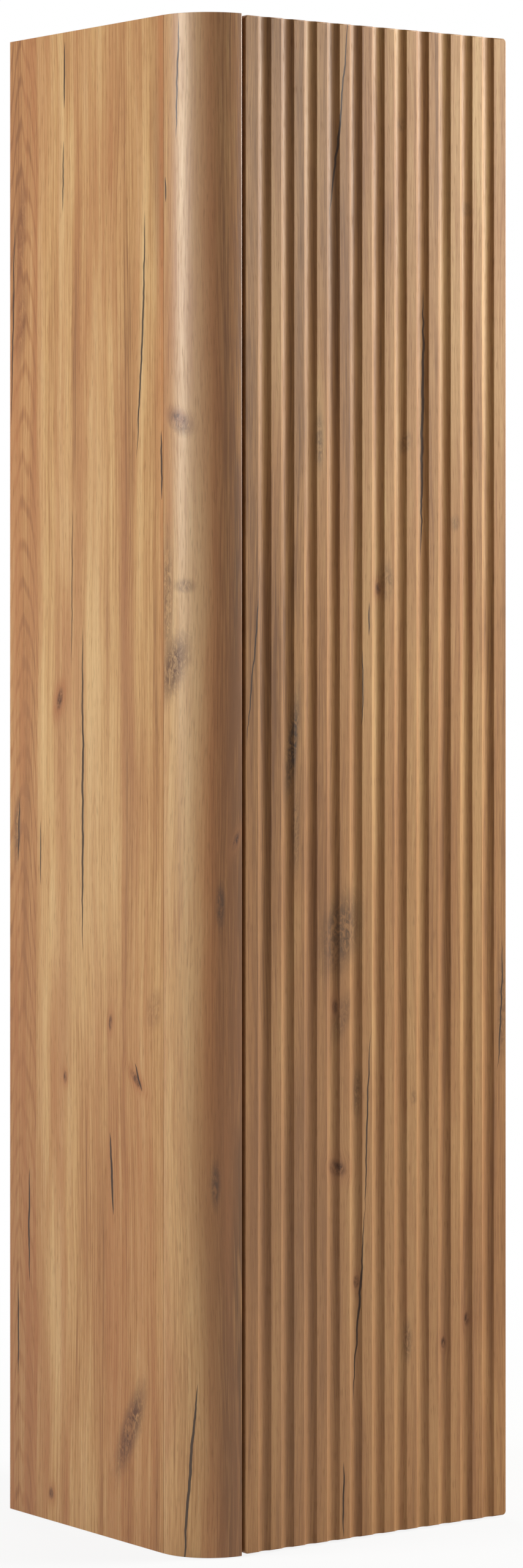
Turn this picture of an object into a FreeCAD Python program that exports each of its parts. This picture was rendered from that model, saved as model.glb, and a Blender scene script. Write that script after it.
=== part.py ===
import FreeCAD, Part
import math
import os

os.makedirs("parts", exist_ok=True)

# Overall size
height = 1360.0
width = 350.0
depth = 298.0

# Boards
board = 16.0
band = 1.0
back_sheet = 3.0
post_radius = 50.0
post_edge_radius = 1.0
seam_bevel = 0.4

# Door and its gaps
door_thick = 19.0
door_side_gap = 3.0
door_end_gap = 1.0
door_back_gap = 3.0
door_edge_radius = 1.2
door_corner_radius = 3.5
door_hinge_edge_radius = 5.5

# Flutes in the door front
flute_count = 11
flute_pitch = 25.4
flute_width = 14.1
flute_radius = 10.0
flute_arris = 0.6

# Back groove and wall rails
groove_depth = 7.0
groove_play = 0.1
tongue_play = 0.5
rail_height = 80.0
wall_hole_spacing = 220.0
wall_hole_radius = 3.5
wall_hole_play = 1.5

# Shelves
shelf_gap_count = 4
shelf_end_play = 0.5
shelf_back_play = 2.0
shelf_front_play = 2.0

# Shelf pins and their holes
pin_radius = 2.5
pin_hole_depth = 9.0
pin_seat = 8.5
pin_reach = 7.0
pin_collar_radius = 3.6
pin_collar = 1.0
pin_hole_play = 0.05
pin_pitch = 32.0
pin_spread = 1
pin_front_inset = 40.0
pin_back_inset = 40.0

# Cam locks, cam bolts and dowels
cam_radius = 7.5
cam_height = 12.5
cam_play = 0.1
cam_inset = 24.0
cam_slot = 1.6
cam_slot_length = 9.0
cam_slot_depth = 2.0
cam_end_inset = 45.0
bolt_hole_radius = 4.0
bolt_thread_radius = 3.0
bolt_thread = 11.0
bolt_shank_radius = 3.4
bolt_neck_radius = 2.2
bolt_neck = 6.0
bolt_head = 2.5
dowel_radius = 4.0
dowel_seat = 11.0
dowel_reach = 19.0
dowel_end_play = 1.0
rail_dowel_spacing = 40.0
post_dowel_count = 5
post_dowel_half = 15.0
post_dowel_inset = 120.0

# Hinges
hinge_end_inset = 111.0
middle_hinge_rise = 80.0
cup_radius = 17.5
cup_edge = 4.5
cup_depth = 12.7
cup_floor = 0.8
cup_flange = 0.8
flange_half_height = 29.0
flange_half_width = 10.0
flange_corner = 6.0
flange_shift = 4.0
pocket_half_length = 15.4
pocket_half_width = 5.6
cup_screw_half = 24.0
cup_screw_shift = 6.0
hinge_pin_edge = 10.2
hinge_pin_depth = 8.8
hinge_pin_radius = 1.25
hinge_pin_half = 9.6
hinge_pin_fit = 0.05
eye_radius = 2.6
neck_half_width = 5.2
neck_thick = 3.8
neck_far = 12.0
neck_low = 2.4
neck_high = 1.6
arm_half_width = 8.0
arm_wall = 1.6
arm_depth = 8.0
arm_front = 9.0
arm_back = 68.0
arm_stand_off = 3.0
plate_line = 37.0
plate_screw_half = 16.0
plate_wing_half = 22.0
plate_wing_half_length = 7.0
plate_wing = 2.5
plate_rail_front = 14.0
plate_rail_back = 64.0
plate_rail_play = 0.4
arm_screw_front = 24.0
arm_screw_back = 56.0
arm_screw_head_radius = 3.6
arm_screw_head = 1.5
arm_screw_radius = 2.0
arm_screw_length = 7.0

# Wood screws
screw_radius = 1.5
screw_length = 10.0
screw_head_radius = 3.2
screw_head = 1.6
screw_slot = 0.8
screw_slot_depth = 0.8

# Push latch
latch_inset = 27.0
latch_width = 16.0
latch_drop = 14.0
latch_length = 64.0
latch_ear = 8.0
latch_ear_thick = 3.0
latch_ear_front = 34.0
latch_ear_length = 16.0
plunger_radius = 4.2
plunger_fit = 0.1
plunger_length = 44.0
plunger_stand_out = 0.6
plunger_air = 0.4
magnet_radius = 3.2
magnet_thick = 2.5
strike_radius = 9.0

# Door bumpers
bumper_radius = 4.0
bumper_air = 0.3
bumper_inset = 30.0

# Places worked out from the sizes
V = FreeCAD.Vector
UP = V(0, 0, 1)
left = -width / 2
right = width / 2
front = -depth / 2
back = depth / 2
inner_left = left + board
inner_right = right - board
post_x = left + post_radius
post_y = front + post_radius
door_left = post_x + door_side_gap
door_width = right - door_left
door_back = front + door_thick
carcass_front = door_back + door_back_gap
board_front = carcass_front + band
rail_front = back - board
sheet_front = rail_front - back_sheet
shelf_front = post_y + shelf_front_play
shelf_step = (height - board) / shelf_gap_count
fixed_z = shelf_step * (shelf_gap_count / 2)
loose_z = [shelf_step, shelf_step * (shelf_gap_count - 1)]
pin_rows = [shelf_front + pin_front_inset, sheet_front - pin_back_inset]
cam_rows = [post_y + cam_end_inset, sheet_front - cam_end_inset]
dowel_row = sum(cam_rows) / len(cam_rows)
deck_z = [0.0, fixed_z, height - board]
rail_z = [board, height - board - rail_height]
hinge_x = right - hinge_pin_edge
hinge_y = door_back - hinge_pin_depth
cup_x = right - cup_edge - cup_radius
hinge_z = {
    "lower": door_end_gap + hinge_end_inset,
    "middle": fixed_z + board / 2 + middle_hinge_rise,
    "upper": height - door_end_gap - hinge_end_inset,
}
latch_x = door_left + latch_inset
latch_z = fixed_z - latch_drop / 2


def box(x0, x1, y0, y1, z0, z1):
    return Part.makeBox(x1 - x0, y1 - y0, z1 - z0, V(x0, y0, z0))


def rod(radius, start, axis, length):
    return Part.makeCylinder(radius, length, start, axis)


def upright_edges(shape, x, y):
    found = []
    for edge in shape.Edges:
        on_line = all(abs(v.X - x) < groove_play and abs(v.Y - y) < groove_play for v in edge.Vertexes)
        if on_line and edge.Length > board / 2:
            found.append(edge)
    return found


def save(name, shapes):
    solid = shapes[0] if len(shapes) == 1 else Part.makeCompound(shapes)
    solid.exportStep("parts/" + name + ".step")


def cut_all(shape, tools):
    return shape.cut(tools) if tools else shape


# Holes shared by a board and the fastener in it
def side_sign(side):
    return -1.0 if side == "left" else 1.0


def side_face(side):
    return side_sign(side) * (width / 2 - board)


def side_dowel(side, y, z):
    face = side_face(side)
    out = V(side_sign(side), 0, 0)
    start = V(face, y, z) - out * dowel_reach
    return rod(dowel_radius, start, out, dowel_reach + dowel_seat)


def side_dowel_hole(side, y, z):
    face = side_face(side)
    out = V(side_sign(side), 0, 0)
    start = V(face, y, z) - out * (dowel_reach + dowel_end_play)
    return rod(dowel_radius, start, out, dowel_reach + dowel_seat + 2 * dowel_end_play)


def cam_centre(side, y, z):
    return V(side_face(side) - side_sign(side) * cam_inset, y, z + board / 2)


def cam_base(z):
    return z + board - cam_height if z > fixed_z else z


def cam_pocket(side, y, z):
    centre = cam_centre(side, y, z)
    return rod(cam_radius, V(centre.x, centre.y, cam_base(z)), UP, cam_height)


def bolt_hole(side, y, z):
    centre = cam_centre(side, y, z)
    out = V(side_sign(side), 0, 0)
    return rod(bolt_hole_radius, centre, out, cam_inset)


def thread_hole(side, y, z):
    face = side_face(side)
    out = V(side_sign(side), 0, 0)
    return rod(bolt_thread_radius, V(face, y, z + board / 2), out, bolt_thread)


def cam_lock(side, y, z):
    centre = cam_centre(side, y, z)
    base = cam_base(z)
    body = rod(cam_radius - cam_play, V(centre.x, centre.y, base), UP, cam_height)
    out = V(side_sign(side), 0, 0)
    mouth = rod(bolt_hole_radius, centre - out * bolt_head, out, cam_radius + bolt_head)
    low = base + cam_height - cam_slot_depth if z > fixed_z else base
    half = cam_slot_length / 2
    thin = cam_slot / 2
    high = low + cam_slot_depth
    bar_x = box(centre.x - half, centre.x + half, y - thin, y + thin, low, high)
    bar_y = box(centre.x - thin, centre.x + thin, y - half, y + half, low, high)
    return body.cut([mouth, bar_x, bar_y])


def cam_bolt(side, y, z):
    centre = cam_centre(side, y, z)
    out = V(side_sign(side), 0, 0)
    head = rod(bolt_shank_radius, centre - out * (bolt_head / 2), out, bolt_head)
    neck = rod(bolt_neck_radius, centre, out, bolt_neck)
    shank = rod(bolt_shank_radius, centre + out * bolt_neck, out, cam_inset - bolt_neck)
    thread = rod(bolt_thread_radius, centre + out * cam_inset, out, bolt_thread)
    return head.fuse([neck, shank, thread]).removeSplitter()


def pin_hole(side, y, z):
    out = V(side_sign(side), 0, 0)
    return rod(pin_radius + pin_hole_play, V(side_face(side), y, z), out, pin_hole_depth)


def shelf_pin(side, y, z):
    out = V(side_sign(side), 0, 0)
    face = V(side_face(side), y, z)
    seat = rod(pin_radius, face, out, pin_seat)
    collar = rod(pin_collar_radius, face - out * pin_collar, out, pin_collar)
    reach = rod(pin_radius, face - out * (pin_collar + pin_reach), out, pin_reach)
    flat = box(left, right, front, back, z + pin_radius, z + board)
    return seat.fuse([collar, reach]).removeSplitter().cut(flat)


def post_dowel(z, extra):
    start = V(left + board / 2, post_y - post_dowel_half - extra, z)
    return rod(dowel_radius, start, V(0, 1, 0), 2 * (post_dowel_half + extra))


def wood_screw(head_top, into):
    side = V(0, 0, 1) if abs(into.z) < abs(into.x) + abs(into.y) else V(1, 0, 0)
    head = Part.makeCone(screw_head_radius, screw_radius, screw_head, head_top, into)
    shank = rod(screw_radius, head_top + into * screw_head, into, screw_length - screw_head)
    across = into.cross(side)
    wide = side * (2 * screw_head_radius) + across * screw_slot + into * screw_slot_depth
    corner = head_top - side * screw_head_radius - across * (screw_slot / 2)
    far = corner + wide
    low = V(min(corner.x, far.x), min(corner.y, far.y), min(corner.z, far.z))
    high = V(max(corner.x, far.x), max(corner.y, far.y), max(corner.z, far.z))
    slot = box(low.x, high.x, low.y, high.y, low.z, high.z)
    return head.fuse(shank).removeSplitter().cut(slot)


def wood_screw_hole(head_top, into):
    head = Part.makeCone(screw_head_radius, screw_radius, screw_head, head_top, into)
    return head.fuse(rod(screw_radius, head_top, into, screw_length))


rail_dowel_z = []
for z in rail_z:
    rail_dowel_z.append(z + rail_height / 2 - rail_dowel_spacing / 2)
    rail_dowel_z.append(z + rail_height / 2 + rail_dowel_spacing / 2)
rail_mid_y = back - board / 2
post_dowel_step = (height - 2 * post_dowel_inset) / (post_dowel_count - 1)
post_dowel_z = [post_dowel_inset + i * post_dowel_step for i in range(post_dowel_count)]


def pin_heights():
    rows = []
    for z in loose_z:
        for step in range(-pin_spread, pin_spread + 1):
            rows.append(z - pin_radius + step * pin_pitch)
    return rows


def side_holes(side):
    tools = []
    face = side_face(side)
    far = face + side_sign(side) * groove_depth
    low = board - groove_depth
    high = height - board + groove_depth
    y0 = sheet_front - groove_play
    y1 = rail_front + groove_play
    tools.append(box(min(face, far), max(face, far), y0, y1, low, high))
    for y in pin_rows:
        for z in pin_heights():
            tools.append(pin_hole(side, y, z))
    for z in deck_z:
        tools.append(side_dowel_hole(side, dowel_row, z + board / 2))
        for y in cam_rows:
            tools.append(thread_hole(side, y, z))
    for z in rail_dowel_z:
        tools.append(side_dowel_hole(side, rail_mid_y, z))
    return tools


# Left side panel, with a fine bevel along the seam to the post
left_side = box(left, inner_left, post_y, back, 0, height)
left_side = left_side.makeChamfer(seam_bevel, upright_edges(left_side, left, post_y))
left_tools = side_holes("left") + [post_dowel(z, dowel_end_play) for z in post_dowel_z]
save("left_side_panel", [cut_all(left_side, left_tools)])

# Quarter-round post
post_wall_in = post_radius - board
diagonal = math.sqrt(0.5)
outer_mid = V(post_x - post_radius * diagonal, post_y - post_radius * diagonal, 0)
inner_mid = V(post_x - post_wall_in * diagonal, post_y - post_wall_in * diagonal, 0)
post_wire = Part.Wire([
    Part.Arc(V(left, post_y, 0), outer_mid, V(post_x, front, 0)).toShape(),
    Part.makeLine(V(post_x, front, 0), V(post_x, front + board, 0)),
    Part.Arc(V(post_x, front + board, 0), inner_mid, V(inner_left, post_y, 0)).toShape(),
    Part.makeLine(V(inner_left, post_y, 0), V(left, post_y, 0)),
])
post = Part.Face(post_wire).extrude(UP * height)
post = post.makeFillet(post_edge_radius, upright_edges(post, post_x, front))
post = post.makeChamfer(seam_bevel, upright_edges(post, left, post_y))
save("front_post", [cut_all(post, [post_dowel(z, dowel_end_play) for z in post_dowel_z])])

# Right side panel
plate_screw_tools = []
plate_screws = []
for z in hinge_z.values():
    for step in (-plate_screw_half, plate_screw_half):
        top = V(inner_right - plate_wing, carcass_front + plate_line, z + step)
        plate_screws.append(wood_screw(top, V(1, 0, 0)))
        plate_screw_tools.append(wood_screw_hole(top, V(1, 0, 0)))
right_side = box(inner_right, right, board_front, back, 0, height)
save("right_side_panel", [cut_all(right_side, side_holes("right") + plate_screw_tools)])
save("hinge_plate_screws", plate_screws)
save("right_side_band", [box(inner_right, right, carcass_front, board_front, 0, height)])


# Top panel, bottom panel and fixed shelf share one outline, rounded inside the post
def deck(z, y_back):
    wire = Part.Wire([
        Part.makeLine(V(inner_right, board_front, z), V(post_x, board_front, z)),
        Part.makeLine(V(post_x, board_front, z), V(post_x, front + board, z)),
        Part.Arc(V(post_x, front + board, z), inner_mid + UP * z, V(inner_left, post_y, z)).toShape(),
        Part.makeLine(V(inner_left, post_y, z), V(inner_left, y_back, z)),
        Part.makeLine(V(inner_left, y_back, z), V(inner_right, y_back, z)),
        Part.makeLine(V(inner_right, y_back, z), V(inner_right, board_front, z)),
    ])
    tools = []
    for side in ("left", "right"):
        tools.append(side_dowel_hole(side, dowel_row, z + board / 2))
        for y in cam_rows:
            tools.append(cam_pocket(side, y, z))
            tools.append(bolt_hole(side, y, z))
    return Part.Face(wire).extrude(UP * board).cut(tools)


def back_groove(z0, z1):
    return box(inner_left, inner_right, sheet_front - groove_play, rail_front + groove_play, z0, z1)


save("bottom_panel", [deck(0.0, back).cut(back_groove(board - groove_depth, board))])
top_low = height - board
save("top_panel", [deck(top_low, back).cut(back_groove(top_low, top_low + groove_depth))])

latch_y0 = carcass_front
latch_screw_y = latch_y0 + latch_ear_front + latch_ear_length / 2
latch_screws = []
latch_screw_tools = []
for step in (-1, 1):
    x = latch_x + step * (latch_width / 2 + latch_ear / 2)
    top = V(x, latch_screw_y, fixed_z - latch_ear_thick)
    latch_screws.append(wood_screw(top, UP))
    latch_screw_tools.append(wood_screw_hole(top, UP))
save("fixed_shelf", [deck(fixed_z, sheet_front).cut(latch_screw_tools)])
save("latch_screws", latch_screws)
band_names = ["bottom_panel_band", "fixed_shelf_band", "top_panel_band"]
for name, z in zip(band_names, deck_z):
    save(name, [box(post_x, inner_right, carcass_front, board_front, z, z + board)])

# Joinery
cams = []
bolts = []
dowels = []
for z in deck_z:
    for side in ("left", "right"):
        dowels.append(side_dowel(side, dowel_row, z + board / 2))
        for y in cam_rows:
            cams.append(cam_lock(side, y, z))
            bolts.append(cam_bolt(side, y, z))
save("cam_locks", cams)
save("cam_bolts", bolts)
save("panel_dowels", dowels)
save("post_dowels", [post_dowel(z, 0.0) for z in post_dowel_z])
rail_dowels = []
for side in ("left", "right"):
    for z in rail_dowel_z:
        rail_dowels.append(side_dowel(side, rail_mid_y, z))
save("rail_dowels", rail_dowels)

# Wall rails and back panel
wall_hole_x = [-wall_hole_spacing / 2, wall_hole_spacing / 2]
for name, z in zip(["lower_rail", "upper_rail"], rail_z):
    rail = box(inner_left, inner_right, rail_front, back, z, z + rail_height)
    tools = []
    for side in ("left", "right"):
        for dz in (-rail_dowel_spacing / 2, rail_dowel_spacing / 2):
            tools.append(side_dowel_hole(side, rail_mid_y, z + rail_height / 2 + dz))
    for x in wall_hole_x:
        tools.append(rod(wall_hole_radius, V(x, rail_front, z + rail_height / 2), V(0, 1, 0), board))
    save(name, [rail.cut(tools)])
tongue = groove_depth - tongue_play
sheet = box(inner_left - tongue, inner_right + tongue, sheet_front, rail_front, board - tongue, top_low + tongue)
sheet_tools = []
for z in rail_z:
    for x in wall_hole_x:
        start = V(x, sheet_front, z + rail_height / 2)
        sheet_tools.append(rod(wall_hole_radius + wall_hole_play, start, V(0, 1, 0), back_sheet))
save("back_panel", [sheet.cut(sheet_tools)])

# Loose shelves, their bands and pins
shelf_x0 = inner_left + shelf_end_play
shelf_x1 = inner_right - shelf_end_play
for name, z in zip(["lower", "upper"], loose_z):
    y1 = sheet_front - shelf_back_play
    save(name + "_shelf", [box(shelf_x0, shelf_x1, shelf_front + band, y1, z, z + board)])
    save(name + "_shelf_band", [box(shelf_x0, shelf_x1, shelf_front, shelf_front + band, z, z + board)])
    pins = []
    for side in ("left", "right"):
        for y in pin_rows:
            pins.append(shelf_pin(side, y, z - pin_radius))
    save(name + "_shelf_pins", pins)

# Hinges: the arm hooks round the door edge into the cup and turns on a pin there
neck_x1 = hinge_x - neck_far
neck_x0 = neck_x1 - neck_thick
arm_x0 = inner_right - arm_stand_off - arm_depth
arm_x1 = inner_right - arm_stand_off
arm_y0 = door_back + arm_front
arm_y1 = door_back + arm_back
cup_screws = []
cup_screw_tools = []
arm_screws = []
door_tools = []
for name, z in hinge_z.items():
    low = z - neck_half_width
    high = z + neck_half_width
    eye = rod(eye_radius, V(hinge_x, hinge_y, low), UP, high - low)
    shank = box(neck_x0, hinge_x, hinge_y - neck_low, hinge_y + neck_high, low, high)
    neck = box(neck_x0, neck_x1, hinge_y - neck_low, arm_y0 + arm_wall, low, high)
    head = box(neck_x0, arm_x1, arm_y0, arm_y0 + arm_wall, z - arm_half_width, z + arm_half_width)
    channel = box(arm_x0, arm_x1, arm_y0, arm_y1, z - arm_half_width, z + arm_half_width)
    inside = arm_half_width - arm_wall
    hollow = box(arm_x0 + arm_wall, arm_x1, arm_y0 + arm_wall, arm_y1, z - inside, z + inside)
    arm = eye.fuse([shank, neck, head, channel.cut(hollow)]).removeSplitter()
    bore = rod(hinge_pin_radius + hinge_pin_fit, V(hinge_x, hinge_y, low), UP, high - low)
    screw_tools = []
    for y in (door_back + arm_screw_front, door_back + arm_screw_back):
        start = V(arm_x0 - arm_screw_head, y, z)
        cap = rod(arm_screw_head_radius, start, V(1, 0, 0), arm_screw_head)
        stem = rod(arm_screw_radius, start, V(1, 0, 0), arm_screw_head + arm_screw_length)
        slot_y = y - screw_slot / 2
        slot_z = z - arm_screw_head_radius
        slot = box(start.x, start.x + screw_slot_depth, slot_y, slot_y + screw_slot, slot_z,
                   z + arm_screw_head_radius)
        arm_screws.append(cap.fuse(stem).removeSplitter().cut(slot))
        screw_tools.append(stem)
    save("hinge_arm_" + name, [arm.cut([bore] + screw_tools)])

    rail_half = inside - plate_rail_play
    plate_rail = box(arm_x0 + arm_wall, inner_right, door_back + plate_rail_front,
                     door_back + plate_rail_back, z - rail_half, z + rail_half)
    wing_y = carcass_front + plate_line
    wings = box(inner_right - plate_wing, inner_right, wing_y - plate_wing_half_length,
                wing_y + plate_wing_half_length, z - plate_wing_half, z + plate_wing_half)
    save("hinge_plate_" + name, [plate_rail.fuse(wings).removeSplitter().cut(screw_tools + plate_screw_tools)])

    cup = rod(cup_radius, V(cup_x, door_back, z), V(0, -1, 0), cup_depth)
    rim = rod(cup_radius, V(cup_x, door_back, z), V(0, 1, 0), cup_flange)
    flange = box(cup_x - flange_shift - flange_half_width, cup_x - flange_shift + flange_half_width,
                 door_back, door_back + cup_flange, z - flange_half_height, z + flange_half_height)
    corners = [e for e in flange.Edges if abs(e.Length - cup_flange) < groove_play]
    flange = flange.makeFillet(flange_corner, corners)
    pocket = box(cup_x - pocket_half_length, cup_x + pocket_half_length, door_back - cup_depth + cup_floor,
                 door_back + cup_flange, z - pocket_half_width, z + pocket_half_width)
    pin = rod(hinge_pin_radius, V(hinge_x, hinge_y, z - hinge_pin_half), UP, 2 * hinge_pin_half)
    own_screws = []
    for step in (-cup_screw_half, cup_screw_half):
        top = V(cup_x - cup_screw_shift, door_back + cup_flange, z + step)
        cup_screws.append(wood_screw(top, V(0, -1, 0)))
        own_screws.append(wood_screw_hole(top, V(0, -1, 0)))
    cup = cup.fuse([rim, flange]).removeSplitter().cut([pocket, pin] + own_screws)
    save("hinge_cup_" + name, [cup])
    save("hinge_pin_" + name, [pin])
    door_tools.append(rod(cup_radius, V(cup_x, door_back, z), V(0, -1, 0), cup_depth))
    door_tools.extend(own_screws)
save("hinge_cup_screws", cup_screws)
save("hinge_arm_screws", arm_screws)

# Push latch under the fixed shelf
latch_y1 = latch_y0 + latch_length
latch_x0 = latch_x - latch_width / 2
latch_x1 = latch_x + latch_width / 2
ear_y0 = latch_y0 + latch_ear_front
latch_body = box(latch_x0, latch_x1, latch_y0, latch_y1, fixed_z - latch_drop, fixed_z)
ears = box(latch_x0 - latch_ear, latch_x1 + latch_ear, ear_y0, ear_y0 + latch_ear_length,
           fixed_z - latch_ear_thick, fixed_z)
plunger_tip = latch_y0 - plunger_stand_out
plunger_bore = rod(plunger_radius + plunger_fit, V(latch_x, latch_y0, latch_z), V(0, 1, 0),
                   plunger_length + plunger_stand_out)
latch = latch_body.fuse(ears).removeSplitter().cut([plunger_bore] + latch_screw_tools)
save("latch_body", [latch])
plunger = rod(plunger_radius, V(latch_x, plunger_tip, latch_z), V(0, 1, 0), plunger_length)
magnet = rod(magnet_radius, V(latch_x, plunger_tip, latch_z), V(0, 1, 0), magnet_thick)
save("latch_plunger", [plunger.cut(magnet)])
save("latch_magnet", [magnet])
strike_face = plunger_tip - plunger_air
strike = rod(strike_radius, V(latch_x, door_back, latch_z), V(0, 1, 0), strike_face - door_back)
strike_top = V(latch_x, strike_face, latch_z)
strike_hole = wood_screw_hole(strike_top, V(0, -1, 0))
save("latch_strike", [strike.cut(strike_hole)])
save("latch_strike_screw", [wood_screw(strike_top, V(0, -1, 0))])
door_tools.append(strike_hole)

# Door bumpers
bumper_x = door_left + bumper_inset
bumper_thick = door_back_gap - bumper_air
bumpers = []
for z in (board / 2 + door_end_gap, height - board / 2 - door_end_gap):
    bumpers.append(rod(bumper_radius, V(bumper_x, door_back, z), V(0, 1, 0), bumper_thick))
save("door_bumpers", bumpers)

# Door slab: round the front edges, then run the flutes out through them
door = box(door_left, right, front, door_back, door_end_gap, height - door_end_gap)
corners = [e for e in door.Edges if abs(e.Length - door_thick) < groove_play]
door = door.makeFillet(door_corner_radius, corners)
rim_edges = []
for edge in door.Edges:
    if edge.BoundBox.YMax < front + groove_play:
        rim_edges.append(edge)
door = door.makeFillet(door_edge_radius, rim_edges)
hinge_edges = upright_edges(door, right, door_back)
door = door.makeFillet(door_hinge_edge_radius, hinge_edges)
centre_out = math.sqrt(flute_radius ** 2 - (flute_width / 2) ** 2)
reach = math.sqrt((flute_radius + flute_arris) ** 2 - (centre_out + flute_arris) ** 2)
share = flute_radius / (flute_radius + flute_arris)
touch_x = reach * share
touch_y = centre_out - (centre_out + flute_arris) * share
turn = math.atan2(reach, centre_out + flute_arris) / 2
mid_x = reach - flute_arris * math.sin(turn)
mid_y = flute_arris - flute_arris * math.cos(turn)
flute_depth = flute_radius - centre_out


def flute(x):
    def at(dx, dy):
        return V(x + dx, front + dy, 0)
    wire = Part.Wire([
        Part.Arc(at(-reach, 0), at(-mid_x, mid_y), at(-touch_x, -touch_y)).toShape(),
        Part.Arc(at(-touch_x, -touch_y), at(0, flute_depth), at(touch_x, -touch_y)).toShape(),
        Part.Arc(at(touch_x, -touch_y), at(mid_x, mid_y), at(reach, 0)).toShape(),
        Part.makeLine(at(reach, 0), at(reach, -flute_radius)),
        Part.makeLine(at(reach, -flute_radius), at(-reach, -flute_radius)),
        Part.makeLine(at(-reach, -flute_radius), at(-reach, 0)),
    ])
    return Part.Face(wire).extrude(UP * height)


first_flute = door_left + (door_width - (flute_count - 1) * flute_pitch) / 2
flutes = [flute(first_flute + i * flute_pitch) for i in range(flute_count)]
door = door.cut(flutes).cut(door_tools)
save("door_panel", [door])
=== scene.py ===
import math
from functools import partial

import bmesh
import bpy
from bpy.props import FloatProperty, FloatVectorProperty, IntProperty, PointerProperty
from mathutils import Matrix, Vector


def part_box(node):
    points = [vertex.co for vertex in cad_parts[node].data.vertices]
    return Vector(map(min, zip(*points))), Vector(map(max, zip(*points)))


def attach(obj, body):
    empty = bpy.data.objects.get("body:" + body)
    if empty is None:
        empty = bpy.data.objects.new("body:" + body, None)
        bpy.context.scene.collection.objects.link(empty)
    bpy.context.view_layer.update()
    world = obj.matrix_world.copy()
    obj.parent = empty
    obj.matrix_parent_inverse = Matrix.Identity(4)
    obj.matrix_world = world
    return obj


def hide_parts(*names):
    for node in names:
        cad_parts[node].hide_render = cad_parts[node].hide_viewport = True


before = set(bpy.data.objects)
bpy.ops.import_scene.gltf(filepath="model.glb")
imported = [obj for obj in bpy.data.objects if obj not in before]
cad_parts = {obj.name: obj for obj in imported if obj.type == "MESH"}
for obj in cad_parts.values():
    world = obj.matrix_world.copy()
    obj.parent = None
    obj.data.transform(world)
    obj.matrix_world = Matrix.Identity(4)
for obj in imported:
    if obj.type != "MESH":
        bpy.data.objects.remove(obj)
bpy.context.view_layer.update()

bl_info = {
    "name": "Fluted Column Cabinet",
    "version": (1, 0, 0),
    "blender": (4, 5, 0),
    "location": "3D Viewport > Sidebar > Cabinet",
    "description": "Dresses a tall oak cabinet: fluted door, round post, boards and fittings",
    "category": "Add Mesh",
}

MM = 0.001
HINGES = ("lower", "middle", "upper")
WHITE = (1.0, 1.0, 1.0, 1.0)

# Places this close count as one, and a cutter stands this far out of what it cuts
NEAR = 0.02 * MM
MOUTH_REACH = 0.3 * MM
WELD_REACH = 0.002 * MM
MERGE_REACH = 0.005 * MM
CUT_PAST = 5 * MM
# Only the upright edges of the door and the post are longer than this, in metres
LONG_EDGE = 0.5

# Camera and floor of the stage, in metres and degrees
CAMERA_PLACE = (-2.497, -3.4185, 0.845)
CAMERA_TURN = -36.2
CAMERA_SHIFT = -0.119
SENSOR_WIDTH = 36.0
FLOOR_RADIUS = 30.0
FLOOR_DROP = 1.0 * MM
# The floor is this white near the cabinet, and wholly white from the second distance on
NEAR_WHITE = 0.88
WHITE_FROM, WHITE_TO = 0.25, 1.5
# Each lamp's name, power setting, place, point that it faces and size, and if it gives fill light and gleam
LAMPS = (
    ("key softbox", "key", (1.81, -1.06, 1.6), (0.03, -0.14, 0.9), (0.8, 0.9), True, True),
    ("left softbox", "side", (-1.9, 0.42, 1.3), (-0.17, -0.1, 0.9), (0.8, 1.3), True, False),
    ("left strip", "strip", (-2.02, 0.02, 1.45), (-0.16, -0.12, 1.0), (0.85, 1.0), False, True),
    ("right strip", "rim", (1.99, -0.56, 1.7), (0.03, -0.14, 0.95), (0.5, 0.9), False, True),
    ("top softbox", "top", (0.0, 0.1, 2.9), (0.0, 0.0, 1.36), (0.9, 0.9), True, True),
    ("back softbox", "back", (0.9, 2.3, 1.3), (0.0, 0.15, 0.75), (1.0, 1.4), True, True),
)

# Noise fields of the oak print: width and length in millimetres, layer, detail, roughness and distortion.
# The bending ones move and tear the grain, and the print lies along the bent grain. The pores are really
# 0.3 mm by 8 mm, and are drawn larger so that they show.
BENDING = {
    "waver": (75, 380, 1.0, 1.5, 0.5, 0.0),
    "twitch": (40, 28, 1.0, 2.0, 0.6, 0.0),
    "ragged": (4, 9, 1.0, 3.0, 0.65, 1.2),
}
PRINT = {
    "patch": (34, 260, 3.0, 4.0, 0.6, 0.3),
    "cloud": (30, 500, 1.0, 2.0, 0.5, 0.0),
    "streak": (9, 420, 1.0, 4.0, 0.55, 0.0),
    "lines": (1.3, 60, 1.0, 1.0, 0.6, 0.0),
    "blush": (17, 600, 2.0, 3.0, 0.6, 0.0),
    "pores": (0.8, 14, 1.0, 1.0, 0.5, 0.0),
}
# More of the print, in millimetres: how far the grain wavers and the cracks twitch, the spacing of growth
# rings and of arches, the width of the painted shade line at a seam, and how deep in the door the print turns
# its edge
WAVER = 8.0
TWITCH = 2.2
RING_SPACING = 4.1
ARCH_SPACING = 40.0
SEAM_SHADE_WIDTH = 1.2
DOOR_WRAP = 3.0
# The clouds of a plain finish are this many times as large as its speckle
CLOUD_GRIT = 14
# A face that looks up or down by more than this is an end, where the grain runs along the edge
END_FACE = 0.7
# What the numbers of a crack and of a knot are, in millimetres apart from the lean
CRACK_SHAPE = ("Low Across", "Low Along", "High Across", "High Along", "Width", "Bow")
KNOT_SHAPE = ("Centre Across", "Centre Along", "Half Width", "Half Height", "Lean")


def linear(hex_colour):
    """The linear RGBA of an sRGB hex colour."""
    parts = [int(hex_colour[i:i + 2], 16) / 255 for i in (0, 2, 4)]
    return tuple(c / 12.92 if c <= 0.04045 else ((c + 0.055) / 1.055) ** 2.4 for c in parts) + (1.0,)


def length(name, description, default):
    return {"name": name, "description": description, "default": default, "min": 0.0, "unit": "LENGTH",
            "precision": 4}


def colour(name, description, hex_colour):
    return {"name": name, "description": description, "default": linear(hex_colour), "size": 4,
            "subtype": "COLOR", "min": 0.0, "max": 1.0}


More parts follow.
